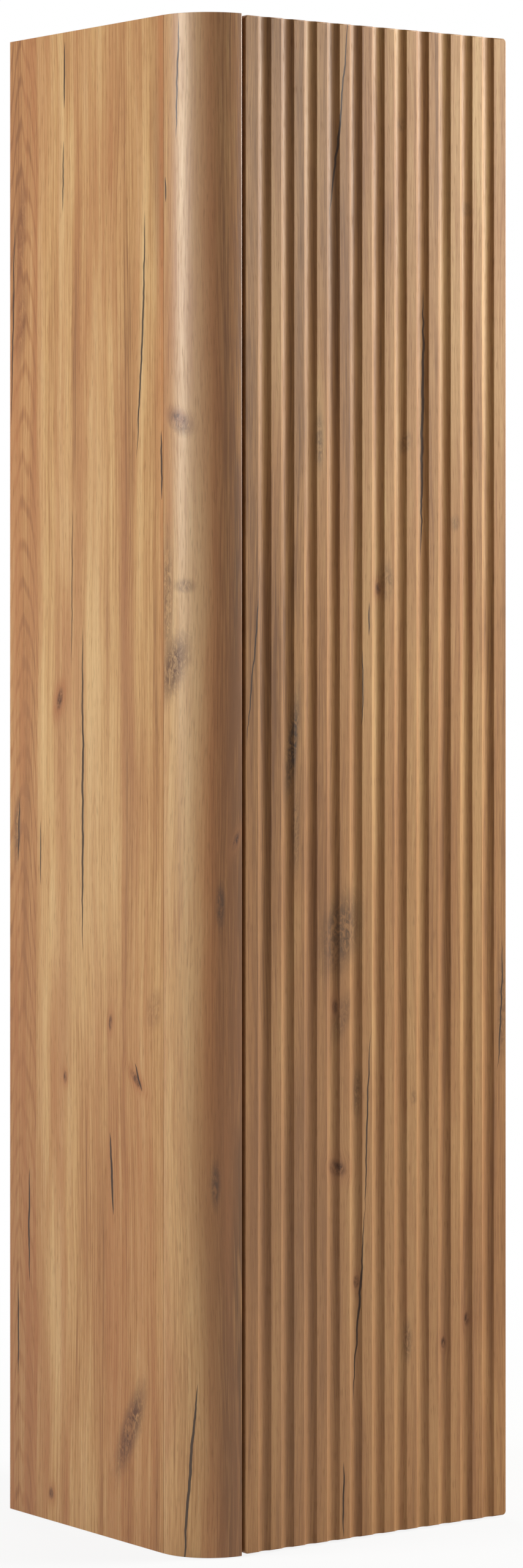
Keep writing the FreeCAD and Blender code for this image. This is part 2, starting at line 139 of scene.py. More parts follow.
def power(name, description, default):
    return {"name": name, "description": description, "default": default, "unit": "POWER"}


class CabinetSizes(bpy.types.PropertyGroup):
    flute_count: IntProperty(name="Flutes", description="Number of flutes across the door", default=11, min=1)
    flute_pitch: FloatProperty(**length("Flute Pitch", "From one flute to the next", 25.4 * MM))
    flute_width: FloatProperty(**length("Flute Width", "Mouth of a flute in the door face", 14.1 * MM))
    flute_radius: FloatProperty(**length("Flute Radius", "Radius of the hollow of a flute", 10.0 * MM))
    flute_arris: FloatProperty(**length("Arris", "Rounding between a flute and its flat", 0.6 * MM))
    door_edge: FloatProperty(**length("Door Edge", "Rounding of the door's front edges", 1.2 * MM))
    door_corner: FloatProperty(**length("Door Corner", "Rounding of the door's four corners", 3.5 * MM))
    hinge_edge: FloatProperty(**length("Hinge Edge", "Rounding of the door's edge by the hinges", 5.5 * MM))
    cup_radius: FloatProperty(**length("Cup Radius", "Radius of the hinge cup bores", 17.5 * MM))
    post_radius: FloatProperty(**length("Post Radius", "Outer radius of the round post", 50.0 * MM))
    post_wall: FloatProperty(**length("Post Wall", "Thickness of the post", 16.0 * MM))
    post_edge: FloatProperty(**length("Post Edge", "Rounding of the post's edge by the door", 1.0 * MM))
    seam: FloatProperty(**length("Seam", "Bevel along the seam of post and side", 0.4 * MM))
    board_edge: FloatProperty(**length("Board Edge", "Rounding of the boards' cut edges", 0.25 * MM))
    metal_edge: FloatProperty(**length("Metal Edge", "Rounding of the pressed fittings' edges", 0.35 * MM))


class CabinetColours(bpy.types.PropertyGroup):
    pale: FloatVectorProperty(**colour("Pale Oak", "Lightest streaks of the oak foil", "dfb983"))
    golden: FloatVectorProperty(**colour("Golden Oak", "Main colour of the oak foil", "cda069"))
    amber: FloatVectorProperty(**colour("Amber Oak", "Darker streaks of the oak foil", "b07e4d"))
    umber: FloatVectorProperty(**colour("Umber Oak", "Darkest grain of the oak foil", "744c29"))
    rosy: FloatVectorProperty(**colour("Rosy Oak", "Reddish streaks of the oak foil", "b3774a"))
    knot: FloatVectorProperty(**colour("Knot", "Hearts of the printed knots", "4c2c17"))
    crack: FloatVectorProperty(**colour("Crack", "Printed cracks", "26150c"))
    floor: FloatVectorProperty(**colour("Floor", "Plain studio floor", "e6e5e2"))


class CabinetStage(bpy.types.PropertyGroup):
    lens: FloatProperty(name="Lens", description="Focal length of the camera, in millimetres", default=105.2,
                        min=1.0)
    key: FloatProperty(**power("Key", "Power of the main softbox on the right", 63.0))
    tint: FloatVectorProperty(**colour("Key Tint", "Colour of the main softbox", "fbfffd"))
    side: FloatProperty(**power("Side", "Power of the softbox on the left", 28.0))
    strip: FloatProperty(**power("Strip", "Power of the gleam on the post", 22.0))
    rim: FloatProperty(**power("Rim", "Power of the gleam on the flutes", 24.0))
    top: FloatProperty(**power("Top", "Power of the softbox overhead", 9.0))
    back: FloatProperty(**power("Back", "Power of the softbox behind", 26.0))
    ambient: FloatProperty(name="Ambient", description="Strength of the even studio light", default=0.032,
                           min=0.0)


# Node and material helpers
def add(tree, kind, inputs=None, stops=None, **settings):
    """Adds a node, sets it, and links or sets its inputs; an input may be a node, a socket or a value."""
    made = tree.nodes.new("ShaderNode" + kind)
    for name, value in settings.items():
        setattr(made, name, value)
    for place, (position, shade) in enumerate(stops or ()):
        elements = made.color_ramp.elements
        stop = elements[place] if place < 2 else elements.new(position)
        stop.position = position
        stop.color = shade if hasattr(shade, "__len__") else (shade, shade, shade, 1.0)
    for key, value in (inputs or {}).items():
        if isinstance(value, bpy.types.Node):
            value = next(socket for socket in value.outputs if socket.enabled)
        if isinstance(value, bpy.types.NodeSocket):
            tree.links.new(value, made.inputs[key])
        else:
            made.inputs[key].default_value = value
    return made


def new_material(name):
    """An empty material, and what adds nodes to it."""
    material = bpy.data.materials.new(name)
    material.use_nodes = True
    material.node_tree.nodes.clear()
    return material, partial(add, material.node_tree)


def new_group(name, inputs, outputs):
    """An empty group: what adds nodes to it, what links them, its inputs and its outputs."""
    tree = bpy.data.node_groups.new(name, "ShaderNodeTree")
    for label in inputs:
        tree.interface.new_socket(label, in_out="INPUT", socket_type="NodeSocketFloat")
    for label in outputs:
        tree.interface.new_socket(label, in_out="OUTPUT", socket_type="NodeSocketFloat")
    given, result = tree.nodes.new("NodeGroupInput").outputs, tree.nodes.new("NodeGroupOutput").inputs
    return partial(add, tree), tree.links.new, given, result


def crack_group():
    """A thin dark split that runs from its low end to its high end and tapers out at both."""
    node, link, given, result = new_group("printed crack", ("Across", "Along") + CRACK_SHAPE, ("Mask",))
    risen = node("Math", {0: given["Along"], 1: given["Low Along"]}, operation="SUBTRACT")
    rise = node("Math", {0: given["High Along"], 1: given["Low Along"]}, operation="SUBTRACT")
    share = node("Math", {0: risen, 1: rise}, operation="DIVIDE")
    rest = node("Math", {0: 1.0, 1: share}, operation="SUBTRACT")
    hump = node("Math", {0: share, 1: rest}, operation="MULTIPLY")
    lean = node("Math", {0: given["High Across"], 1: given["Low Across"]}, operation="SUBTRACT")
    line = node("Math", {0: lean, 1: share, 2: given["Low Across"]}, operation="MULTIPLY_ADD")
    path = node("Math", {0: hump, 1: given["Bow"], 2: line}, operation="MULTIPLY_ADD")
    off = node("Math", {0: given["Across"], 1: path}, operation="SUBTRACT")
    aside = node("Math", {0: off}, operation="ABSOLUTE")
    kept = node("Math", {0: hump, 1: 0.0}, operation="MAXIMUM")
    full = node("Math", {0: kept, 1: 4.0}, operation="MULTIPLY")
    taper = node("Math", {0: full, 1: 0.6}, operation="POWER")
    thick = node("Math", {0: taper, 1: given["Width"]}, operation="MULTIPLY")
    half = node("Math", {0: thick, 1: 0.5}, operation="MULTIPLY")
    inside = node("Math", {0: half, 1: aside}, operation="SUBTRACT")
    mask = node("MapRange", {0: inside, 1: -0.05, 2: 0.35, 3: 0.0, 4: 1.0}, interpolation_type="SMOOTHSTEP")
    between = node("Math", {0: kept, 1: 0.001}, operation="GREATER_THAN")
    link(node("Math", {0: mask, 1: between}, operation="MULTIPLY").outputs[0], result["Mask"])


def knot_group():
    """A knot: it pushes the grain aside, darkens a halo and has a ragged dark heart."""
    inputs = ("Across", "Along", "Ragged") + KNOT_SHAPE
    node, link, given, result = new_group("printed knot", inputs, ("Push", "Halo", "Heart"))
    up = node("Math", {0: given["Along"], 1: given["Centre Along"]}, operation="SUBTRACT")
    level = node("Math", {0: given["Across"], 1: given["Centre Across"]}, operation="SUBTRACT")
    leaned = node("Math", {0: up, 1: given["Lean"]}, operation="MULTIPLY")
    side = node("Math", {0: level, 1: leaned}, operation="SUBTRACT")
    wide = node("Math", {0: side, 1: given["Half Width"]}, operation="DIVIDE")
    tall = node("Math", {0: up, 1: given["Half Height"]}, operation="DIVIDE")
    wide_sq = node("Math", {0: wide, 1: wide}, operation="MULTIPLY")
    away_sq = node("Math", {0: tall, 1: tall, 2: wide_sq}, operation="MULTIPLY_ADD")
    spread = node("Math", {0: away_sq, 1: -0.4}, operation="MULTIPLY")
    halo = node("Math", {0: spread}, operation="EXPONENT")
    pull = node("Math", {0: side, 1: -0.75}, operation="MULTIPLY")
    link(node("Math", {0: pull, 1: halo}, operation="MULTIPLY").outputs[0], result["Push"])
    link(halo.outputs[0], result["Halo"])
    away = node("Math", {0: away_sq}, operation="SQRT")
    torn = node("Math", {0: given["Ragged"], 1: 1.3, 2: away}, operation="MULTIPLY_ADD")
    heart = node("MapRange", {0: torn, 1: 1.25, 2: 0.45, 3: 0.0, 4: 1.0}, interpolation_type="SMOOTHSTEP")
    link(heart.outputs[0], result["Heart"])


def oak_foil(name, colours, across, tones, cracks=(), knots=(), smudges=(), bands=(), seam=None, flame=None,
             seed=0.0, roughness=0.38, lustre=0.34, figure=1.0, fibre=0.16, rings=0.8, redness=0.55):
    """Oak-print furniture foil with a satin lacquer: long streaks, fine grain, open pores, knots and cracks.

    across names the board, and with it the way across the grain; tones are (millimetre, tone) stops that way.
    A crack is given by CRACK_SHAPE and a knot by KNOT_SHAPE. Smudges are ragged and bands are soft: each is
    given by KNOT_SHAPE, a strength and a colour. seam is where a thin brown line of painted shade marks the
    joint at the cut edge of the foil. flame is a stave of arched grain, by its edge, its middle and its half
    width.
    lustre is how much the lacquer reflects, figure how strongly the tone varies, fibre how strongly the fine
    grain does, rings how dark the growth rings are, and redness how reddish the reddest streaks are.
    """
    material, node = new_material(name)
    knot_print = bpy.data.node_groups["printed knot"]
    crack_print = bpy.data.node_groups["printed crack"]
    place = node("TexCoord")
    size = node("VectorMath", {0: place.outputs["Object"], "Scale": 1.0 / MM}, operation="SCALE")
    xyz = node("SeparateXYZ", {0: size}).outputs
    along = xyz["Z"]
    # The foil wraps round the edges, so the way across also counts the depth from the face
    if across == "door":
        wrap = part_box("door_panel")[0].y / MM + DOOR_WRAP
        depth = node("Math", {0: xyz["Y"], 1: wrap}, operation="SUBTRACT")
        depth = node("Math", {0: depth, 1: 0.0}, operation="MAXIMUM")
        raw = node("Math", {0: xyz["X"], 1: depth}, operation="ADD")
    elif across == "left side":
        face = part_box("left_side_panel")[0].x / MM
        depth = node("Math", {0: xyz["X"], 1: face}, operation="SUBTRACT")
        raw = node("Math", {0: depth, 1: xyz["Y"]}, operation="SUBTRACT")
    elif across == "right side":
        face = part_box("right_side_panel")[1].x / MM
        depth = node("Math", {0: face, 1: xyz["X"]}, operation="SUBTRACT")
        raw = node("Math", {0: depth, 1: xyz["Y"]}, operation="ADD")
    elif across == "shelf":
        raw = node("Math", {0: xyz["Y"], 1: xyz["Z"]}, operation="ADD")
        along = xyz["X"]
    else:
        axis = post_axis()
        radius = bpy.context.scene.cabinet_sizes.post_radius / MM
        deep = node("Math", {0: axis.y / MM, 1: xyz["Y"]}, operation="SUBTRACT")
        left = node("Math", {0: axis.x / MM, 1: xyz["X"]}, operation="SUBTRACT")
        turn = node("Math", {0: deep, 1: left}, operation="ARCTAN2")
        round_way = node("Math", {0: turn, 1: radius}, operation="MULTIPLY")
        offset = node("CombineXYZ", {0: deep, 1: left})
        reach = node("VectorMath", {0: offset}, operation="LENGTH")
        raw = node("Math", {0: round_way, 1: reach.outputs["Value"]}, operation="ADD")
        raw = node("Math", {0: raw, 1: radius}, operation="SUBTRACT")
    # On top and underneath, the edging's grain runs along the edge
    if across != "shelf":
        end_across, end_along = (xyz["Y"], xyz["X"]) if across == "door" else (xyz["X"], xyz["Y"])
        facing = node("SeparateXYZ", {0: place.outputs["Normal"]}).outputs["Z"]
        steep = node("Math", {0: facing}, operation="ABSOLUTE")
        level = node("Math", {0: steep, 1: END_FACE}, operation="GREATER_THAN")
        raw = node("Mix", {0: level, 2: raw, 3: end_across})
        along = node("Mix", {0: level, 2: along, 3: end_along})

    # The grain wavers, the cracks twitch, and the knots push the grain aside
    noise = {}
    flat = node("CombineXYZ", {0: raw, 1: along, 2: seed})
    for label, (width, tall, layer, detail, rough, warp) in BENDING.items():
        spots = node("VectorMath", {0: flat, 1: (1 / width, 1 / tall, layer)}, operation="MULTIPLY")
        noise[label] = node("TexNoise", {"Vector": spots, "Scale": 1.0, "Detail": detail,
                            "Roughness": rough, "Distortion": warp})
    waver = node("MapRange", {0: noise["waver"], 1: 0.0, 2: 1.0, 3: -WAVER, 4: WAVER}, clamp=False)
    twitch = node("MapRange", {0: noise["twitch"], 1: 0.0, 2: 1.0, 3: -TWITCH, 4: TWITCH}, clamp=False)
    line = node("Math", {0: raw, 1: twitch}, operation="ADD")
    torn = node("Math", {0: noise["ragged"], 1: 0.5}, operation="SUBTRACT")
    bent = node("Math", {0: raw, 1: waver}, operation="ADD")
    halo = heart = 0.0
    for shape in knots:
        knot = node("Group", {"Across": raw, "Along": along, "Ragged": torn,
                    **dict(zip(KNOT_SHAPE, shape))}, node_tree=knot_print)
        bent = node("Math", {0: bent, 1: knot.outputs["Push"]}, operation="ADD")
        halo = node("Math", {0: halo, 1: knot.outputs["Halo"]}, operation="MAXIMUM")
        heart = node("Math", {0: heart, 1: knot.outputs["Heart"]}, operation="MAXIMUM")

    # Staves, and growth rings that drift with the clouds and are darkest in pale streaks
    grain = node("CombineXYZ", {0: bent, 1: along, 2: seed})
    for label, (width, tall, layer, detail, rough, warp) in PRINT.items():
        spots = node("VectorMath", {0: grain, 1: (1 / width, 1 / tall, layer)}, operation="MULTIPLY")
        noise[label] = node("TexNoise", {"Vector": spots, "Scale": 1.0, "Detail": detail,
                            "Roughness": rough, "Distortion": warp})
    drift = node("Math", {0: noise["cloud"], 1: 5.0}, operation="MULTIPLY")
    year = node("Math", {0: bent, 1: 1 / RING_SPACING, 2: drift}, operation="MULTIPLY_ADD")
    year = node("Math", {0: year, 1: math.tau}, operation="MULTIPLY")
    year = node("Math", {0: year}, operation="SINE")
    growth = node("MapRange", {0: year, 1: 0.35, 2: 1.0, 3: 0.0, 4: 1.0})
    dark = node("MapRange", {0: noise["streak"], 1: 0.35, 2: 0.6, 3: -0.14 * rings, 4: -0.36 * rings})
    low, high = tones[0][0], tones[-1][0]
    share = node("MapRange", {0: bent, 1: low, 2: high, 3: 0.0, 4: 1.0})
    stave = node("ValToRGB", {0: share}, stops=[((mm - low) / (high - low), tone) for mm, tone in tones])
    tone = node("Math", {0: growth, 1: dark, 2: stave}, operation="MULTIPLY_ADD")
    # How far each field sways the tone, over this much to each side of its middle
    for label, reach, sway in (("streak", 0.25, 0.3 * figure), ("lines", 0.3, fibre),
                               ("cloud", 0.25, 0.32 * figure), ("patch", 0.25, -0.2 * figure)):
        part = node("MapRange", {0: noise[label], 1: 0.5 - reach, 2: 0.5 + reach, 3: -sway, 4: sway},
                    clamp=False)
        tone = node("Math", {0: part, 1: tone}, operation="ADD")
    if flame:
        # Nested arches of flat-sawn grain
        edge, middle, half = flame
        off = node("Math", {0: bent, 1: middle}, operation="SUBTRACT")
        wide = node("Math", {0: off, 1: half}, operation="DIVIDE")
        arch = node("Math", {0: wide, 1: wide}, operation="MULTIPLY")
        bulge = node("MapRange", {0: noise["cloud"], 1: 0.0, 2: 1.0, 3: -2.0, 4: 2.0}, clamp=False)
        rise = node("Math", {0: along, 1: 1 / ARCH_SPACING, 2: bulge}, operation="MULTIPLY_ADD")
        phase = node("Math", {0: arch, 1: 1.2, 2: rise}, operation="MULTIPLY_ADD")
        phase = node("Math", {0: phase, 1: math.tau}, operation="MULTIPLY")
        wave = node("Math", {0: phase}, operation="SINE")
        ring = node("MapRange", {0: wave, 1: 0.3, 2: 1.0, 3: 0.0, 4: -0.3})
        rear = node("Math", {0: bent, 1: edge}, operation="LESS_THAN")
        tone = node("Math", {0: ring, 1: rear, 2: tone}, operation="MULTIPLY_ADD")
    if knots:
        tone = node("Math", {0: halo, 1: -0.26, 2: tone}, operation="MULTIPLY_ADD")
    oak = [(0.0, colours.umber), (1.0, colours.pale), (0.3, colours.amber), (0.62, colours.golden)]
    shade = node("ValToRGB", {0: tone}, stops=oak)

    # Reddish streaks and patches, then the soft bands
    rosy = node("MapRange", {0: noise["blush"], 1: 0.44, 2: 0.68, 3: 0.0, 4: redness})
    warm = node("MapRange", {0: noise["patch"], 1: 0.5, 2: 0.72, 3: 0.0, 4: 0.6 * redness})
    rosy = node("Math", {0: rosy, 1: warm}, operation="ADD", use_clamp=True)
    if knots:
        rosy = node("Math", {0: halo, 1: 0.6, 2: rosy}, operation="MULTIPLY_ADD", use_clamp=True)
    if flame:
        rosy = node("Math", {0: rear, 1: 0.38, 2: rosy}, operation="MULTIPLY_ADD", use_clamp=True)
    shade = node("Mix", {0: rosy, 6: shade, 7: colours.rosy}, data_type="RGBA")
    for *shape, strength, tint in bands:
        band = node("Group", {"Across": bent, "Along": along, **dict(zip(KNOT_SHAPE, shape))},
                    node_tree=knot_print)
        part = node("Math", {0: band.outputs["Halo"], 1: strength}, operation="MULTIPLY")
        shade = node("Mix", {0: part, 6: shade, 7: tint}, data_type="RGBA")

    # Open pores, then the dark marks over them
    pores = node("MapRange", {0: noise["pores"], 1: 0.56, 2: 0.72, 3: 0.0, 4: 1.0})
    worn = node("Math", {0: pores, 1: 0.32}, operation="MULTIPLY")
    shade = node("Mix", {0: worn, 6: shade, 7: colours.umber}, data_type="RGBA")
    curly = node("MapRange", {0: noise["ragged"], 1: 0.38, 2: 0.62, 3: 0.25, 4: 1.0})
    for *shape, strength, tint in smudges:
        smudge = node("Group", {"Across": raw, "Along": along, "Ragged": torn,
                      **dict(zip(KNOT_SHAPE, shape))}, node_tree=knot_print)
        part = node("Math", {0: smudge.outputs["Heart"], 1: strength}, operation="MULTIPLY")
        part = node("Math", {0: part, 1: curly}, operation="MULTIPLY")
        shade = node("Mix", {0: part, 6: shade, 7: tint}, data_type="RGBA")
    if knots:
        part = node("Math", {0: heart, 1: curly}, operation="MULTIPLY")
        shade = node("Mix", {0: part, 6: shade, 7: colours.knot}, data_type="RGBA")
    split = 0.0
    for shape in cracks:
        crack = node("Group", {"Across": line, "Along": along, **dict(zip(CRACK_SHAPE, shape))},
                     node_tree=crack_print)
        split = node("Math", {0: split, 1: crack}, operation="MAXIMUM")
    if cracks:
        part = node("Math", {0: split, 1: 0.92}, operation="MULTIPLY")
        shade = node("Mix", {0: part, 6: shade, 7: colours.crack}, data_type="RGBA")
    if seam is not None:
        # A thin brown line at the cut edge of the foil: painted shade in the joint
        part = node("MapRange", {0: raw, 1: seam, 2: seam + SEAM_SHADE_WIDTH, 3: 0.65, 4: 0.0})
        shade = node("Mix", {0: part, 6: shade, 7: colours.umber}, data_type="RGBA")

    # Satin lacquer, duller and sunken in the pores
    dull = node("MapRange", {0: noise["lines"], 1: 0.2, 2: 0.8, 3: roughness + 0.06, 4: roughness - 0.04})
    dull = node("Math", {0: pores, 1: 0.12, 2: dull}, operation="MULTIPLY_ADD")
    height = node("Math", {0: pores, 1: -1.0, 2: noise["lines"]}, operation="MULTIPLY_ADD")
    relief = node("Bump", {"Strength": 0.25, "Distance": 0.1 * MM, "Height": height})
    skin = node("BsdfPrincipled", {"Base Color": shade, "Roughness": dull, "IOR": 1.47,
                "Specular IOR Level": lustre, "Normal": relief})
    node("OutputMaterial", {0: skin})
    return material


def post_axis():
    """The upright axis of the round post, at floor level."""
    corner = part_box("front_post")[1]
    return Vector((corner.x, corner.y, 0.0))


def side_oak(colours):
    # Foil on the left side: golden staves, one of them with arched grain at the wall, and long dark cracks
    tones = [(-150, 0.56), (-105, 0.57), (-103.8, 0.76), (-62, 0.7), (-58, 0.6), (-22, 0.62), (-18, 0.72),
             (26, 0.64), (44, 0.52), (64, 0.68), (84, 0.62), (99, 0.5)]
    cracks = [(-59, 1290, -58, 1352, 2.6, 0), (-61, 1196, -60, 1262, 2.2, 0), (57, 967, 70, 1190, 3.0, 10),
              (-29, 522, -29, 820, 3.4, 2), (20, 290, 16, 365, 3.6, 0), (-116, 213, -116, 320, 2.8, -4),
              (-135, 124, -135, 213, 2.4, 0), (-147, 1002, -141, 1204, 2.4, 0), (96, 931, 96, 993, 3.2, 0),
              (-136, 600, -133, 660, 2.4, 3), (66, 405, 55, 430, 2.6, 0), (-98, 580, -97, 640, 2.0, 0),
              (-47, 780, -45, 930, 1.6, 0)]
    knots = [(16, 463, 3, 8, 0.1), (57, 415, 6, 8, -0.9), (-57, 408, 3, 6, 0), (-66, 752, 5, 11, 0.25),
             (-80, 25, 4, 6, 0)]
    red, rust = linear("7a4a2b"), linear("a4683f")
    smudges = [(85, 480, 14, 20, 0.2, 0.5, red), (48, 103, 16, 48, 0.45, 1.0, linear("5f3a24")),
               (-66, 752, 11, 22, 0.25, 0.8, rust), (-130, 1180, 9, 60, 0.1, 0.6, red),
               (-130, 1100, 11, 45, 0.1, 0.6, red), (-137, 630, 7, 36, 0.05, 0.7, linear("5a3f2d"))]
    bands = [(41, 845, 6, 130, -0.05, 0.7, rust), (-56, 470, 6, 60, 0, 0.5, rust),
             (92, 1215, 6, 60, 0, 0.6, linear("8d6a48")), (96, 1150, 4, 220, 0, 0.6, linear("b8703e")),
             (40, 230, 45, 200, 0, 0.35, linear("a9683c")),
             (-130, 210, 26, 200, 0, 0.3, linear("8d5a36")),
             (-20, 700, 60, 200, 0, 0.25, linear("d3ae84"))]
    return oak_foil("oak print foil, left side", colours, "left side", tones, cracks, knots, smudges, bands,
                    flame=(-104.5, -130.0, 22.0), seed=1.3, figure=1.15)


def far_oak(colours):
    # The same foil on the right side, a little darker and with its own knots and cracks
    tones = [(-150, 0.5), (-90, 0.6), (-88.5, 0.44), (-30, 0.52), (20, 0.62), (60, 0.5), (61.5, 0.36),
             (110, 0.46), (150, 0.4)]
    cracks = [(-52, 880, -48, 1090, 3.2, 4), (34, 300, 40, 520, 3.6, -3), (-104, 180, -104, 270, 2.4, 0),
              (88, 1010, 84, 1120, 2.4, 3)]
    knots = [(-20, 640, 6, 12, 0.2), (74, 236, 3, 7, 0), (-70, 1180, 4, 8, 0.1)]
    smudges = [(-18, 660, 12, 30, 0.1, 0.6, linear("7a4a2b"))]
    bands = [(64, 840, 7, 110, 0, 0.5, linear("a4683f"))]
    return oak_foil("oak print foil, right side", colours, "right side", tones, cracks, knots, smudges, bands,
                    seed=21.6)


def post_oak(colours):
    # Foil bent round the post: pale by the side, glossier, dark by the door as painted shade where neither
    # lamp reaches, with a painted highlight band high up and a brown line of painted shade at its seam
    # Past 48 mm the tones fall to near black: painted shade on the part of the post by the door
    tones = [(-5, 0.64), (10, 0.66), (24, 0.68), (33, 0.68), (40, 0.62), (48, 0.46), (57, 0.18), (80, 0.05)]
    cracks = [(16.6, 1248, 18.3, 1359, 2.2, 0), (3.5, 1194, 3.5, 1217, 2.0, 0),
              (23.0, -20, 37.5, 154, 3.0, -3)]
    knots = [(19, 1003, 7, 5, -0.8), (72, 631, 3, 9, 0.3)]
    dusk, dark, painted_highlight = linear("5f3a1c"), linear("4f3420"), linear("dcc4a8")
    smudges = [(25, 855, 12, 7, 0, 0.7, dusk), (13, 784, 16, 34, 0.3, 0.95, dusk),
               (6, 845, 8, 70, 0, 0.7, dusk), (20, 1000, 14, 14, -0.5, 0.8, dusk),
               (53, 328, 5, 24, 0, 0.8, dark), (57.6, 574, 5, 24, 0, 0.8, dark)]
    # The cream band high on the post is a painted highlight where the left strip's gleam falls
    bands = [(49, 800, 8, 700, 0, 0.6, linear("be7640")), (30, 1140, 12, 330, 0, 0.25, painted_highlight),
             # The band at 46 mm low on the post is painted shade that carries the dark side lower down
             (46, 260, 9, 130, -0.03, 0.5, linear("8d6238")), (20, 300, 20, 260, 0, 0.2, linear("d0a070"))]
    return oak_foil("oak print foil, post", colours, "post", tones, cracks, knots, smudges, bands, seam=0.0,
                    seed=4.7, roughness=0.36, lustre=0.6, figure=0.7, fibre=0.3, rings=0.4, redness=0.5)


def door_oak(colours):
    # Foil on the door: browner and duller than the side, with dusky smudges and thin cracks
    tones = [(-122, 0.23), (-92, 0.27), (-76, 0.24), (-58, 0.24), (-50, 0.29), (-10, 0.3), (18, 0.36),
             (60, 0.41), (84, 0.33), (110, 0.4), (150, 0.35), (175, 0.29)]
    cracks = [(-27, 1180, -7.5, 1372, 2.2, 4), (77, 880, 80, 1127, 3.0, 2), (16, 810, 16, 841, 1.6, 0),
              (8, 729, 8, 799, 1.6, 3), (11, 292, 17, 454, 2.0, 0), (-1, 118, 11, 300, 2.0, 3),
              (-13, 2, -13, 71, 2.4, 0), (-121, 712, -104, 880, 1.7, 3), (165, 410, 170, 530, 2.0, 6)]
    knots = [(28, 853, 3, 6, 0), (-21, 478, 3, 7, 0), (-19, 334, 9, 8, -0.3), (103, 166, 3, 6, 0),
             (130, 185, 3, 7, 0), (3, 230, 3, 6, 0)]
    dusk, ash = linear("4b3524"), linear("a88462")
    smudges = [(-16, 545, 26, 42, 0.2, 0.85, dusk), (-69, 715, 7, 62, 0.1, 0.8, dusk),
               (-69, 712, 4, 36, 0.1, 1.0, linear("35241a")), (-66, 640, 5, 50, 0, 0.6, dusk),
               (36, 860, 9, 20, 0, 0.5, dusk), (170, 470, 6, 60, 0, 0.6, dusk),
               (-14, 470, 10, 24, 0.3, 0.5, dusk), (54, 1273, 5, 7, 0, 0.4, dusk),
               (115, 913, 6, 8, 0, 0.5, dusk), (67, 392, 5, 7, 0, 0.4, dusk),
               (130, 1200, 5, 8, 0, 0.4, dusk), (58, 985, 7, 12, 0.2, 0.5, dusk),
               (-40, 985, 5, 30, 0, 0.7, dusk), (60, 172, 5, 22, 0, 0.6, dusk),
               (4, 400, 5, 26, 0, 0.6, dusk)]
    bands = [(-70, 180, 60, 240, 0, 0.42, ash), (90, 150, 60, 200, 0, 0.22, ash),
             (-70, 1260, 60, 150, 0, 0.3, ash), (25, 250, 220, 300, 0, 0.2, linear("b07450"))]
    return oak_foil("oak print foil, door", colours, "door", tones, cracks, knots, smudges, bands, seed=7.9,
                    roughness=0.52, figure=0.65, rings=0.2, redness=0.25)


def board_oak(colours):
    # Oak melamine of the inside boards: the same print without knots, drier to the eye than the foil
    tones = [(-150, 0.5), (-60, 0.58), (-20, 0.46), (60, 0.56), (150, 0.5)]
    return oak_foil("oak melamine, boards", colours, "shelf", tones, seed=11.2, roughness=0.55)


def edge_oak(colours, across):
    # ABS edging printed to match the boards: even tone and fine grain, slightly smoother than the boards
    tones = [(-150, 0.5), (150, 0.52)]
    return oak_foil("printed ABS edging, " + across, colours, across, tones, seed=15.1, roughness=0.5)


def speckled(name, base, spot, grit, rough, metallic=0.0, lift=0.2, stretch=(1.0, 1.0, 1.0)):
    """A plain finish with the fine mottle of how it was made; grit is the speckle's size in millimetres."""
    material, node = new_material(name)
    place = node("TexCoord")
    scale = tuple(s / (grit * MM) for s in stretch)
    spots = node("VectorMath", {0: place.outputs["Object"], 1: scale}, operation="MULTIPLY")
    fine = node("TexNoise", {"Vector": spots, "Scale": 1.0, "Detail": 3.0, "Roughness": 0.6})
    cloud = node("TexNoise", {"Vector": place.outputs["Object"], "Scale": 1.0 / (CLOUD_GRIT * grit * MM),
                 "Detail": 2.0})
    mixed = node("Math", {0: fine, 1: cloud}, operation="MULTIPLY")
    share = node("MapRange", {0: mixed, 1: 0.12, 2: 0.42, 3: 0.0, 4: 1.0})
    tint = node("Mix", {0: share, 6: linear(base), 7: linear(spot)}, data_type="RGBA")
    dull = node("MapRange", {0: fine, 1: 0.25, 2: 0.75, 3: rough - 0.07, 4: rough + 0.07})
    relief = node("Bump", {"Strength": lift, "Distance": 0.05 * MM, "Height": fine})
    skin = node("BsdfPrincipled", {"Base Color": tint, "Roughness": dull, "Metallic": metallic,
                "Normal": relief})
    node("OutputMaterial", {0: skin})
    return material


def chipboard():
    """Raw pressed chipboard: flat wood chips about 7 mm by 2 mm, each with its own brown."""
    material, node = new_material("raw chipboard")
    place = node("TexCoord")
    scale = (1 / (7 * MM), 1 / (2 * MM), 1 / (2 * MM))
    spots = node("VectorMath", {0: place.outputs["Object"], 1: scale}, operation="MULTIPLY")
    chips = node("TexVoronoi", {"Vector": spots, "Scale": 1.0, "Randomness": 1.0})
    own = node("SeparateColor", {0: chips.outputs["Color"]})
    browns = [(0.0, linear("9c7a53")), (1.0, linear("d9c097")), (0.3, linear("b6946a")),
              (0.7, linear("c7a87c"))]
    tint = node("ValToRGB", {0: own.outputs["Red"]}, stops=browns)
    crumb = node("TexNoise", {"Vector": place.outputs["Object"], "Scale": 1 / (1.1 * MM), "Detail": 3.0})
    grit = node("MapRange", {0: crumb, 1: 0.35, 2: 0.65, 3: 0.35, 4: 0.0})
    worn = node("Mix", {0: grit, 6: tint, 7: linear("80603f")}, data_type="RGBA")
    dull = node("MapRange", {0: crumb, 1: 0.3, 2: 0.7, 3: 0.72, 4: 0.88})
    relief = node("Bump", {"Strength": 0.5, "Distance": 0.25 * MM, "Height": crumb})
    skin = node("BsdfPrincipled", {"Base Color": worn, "Roughness": dull, "Normal": relief})
    node("OutputMaterial", {0: skin})
    return material


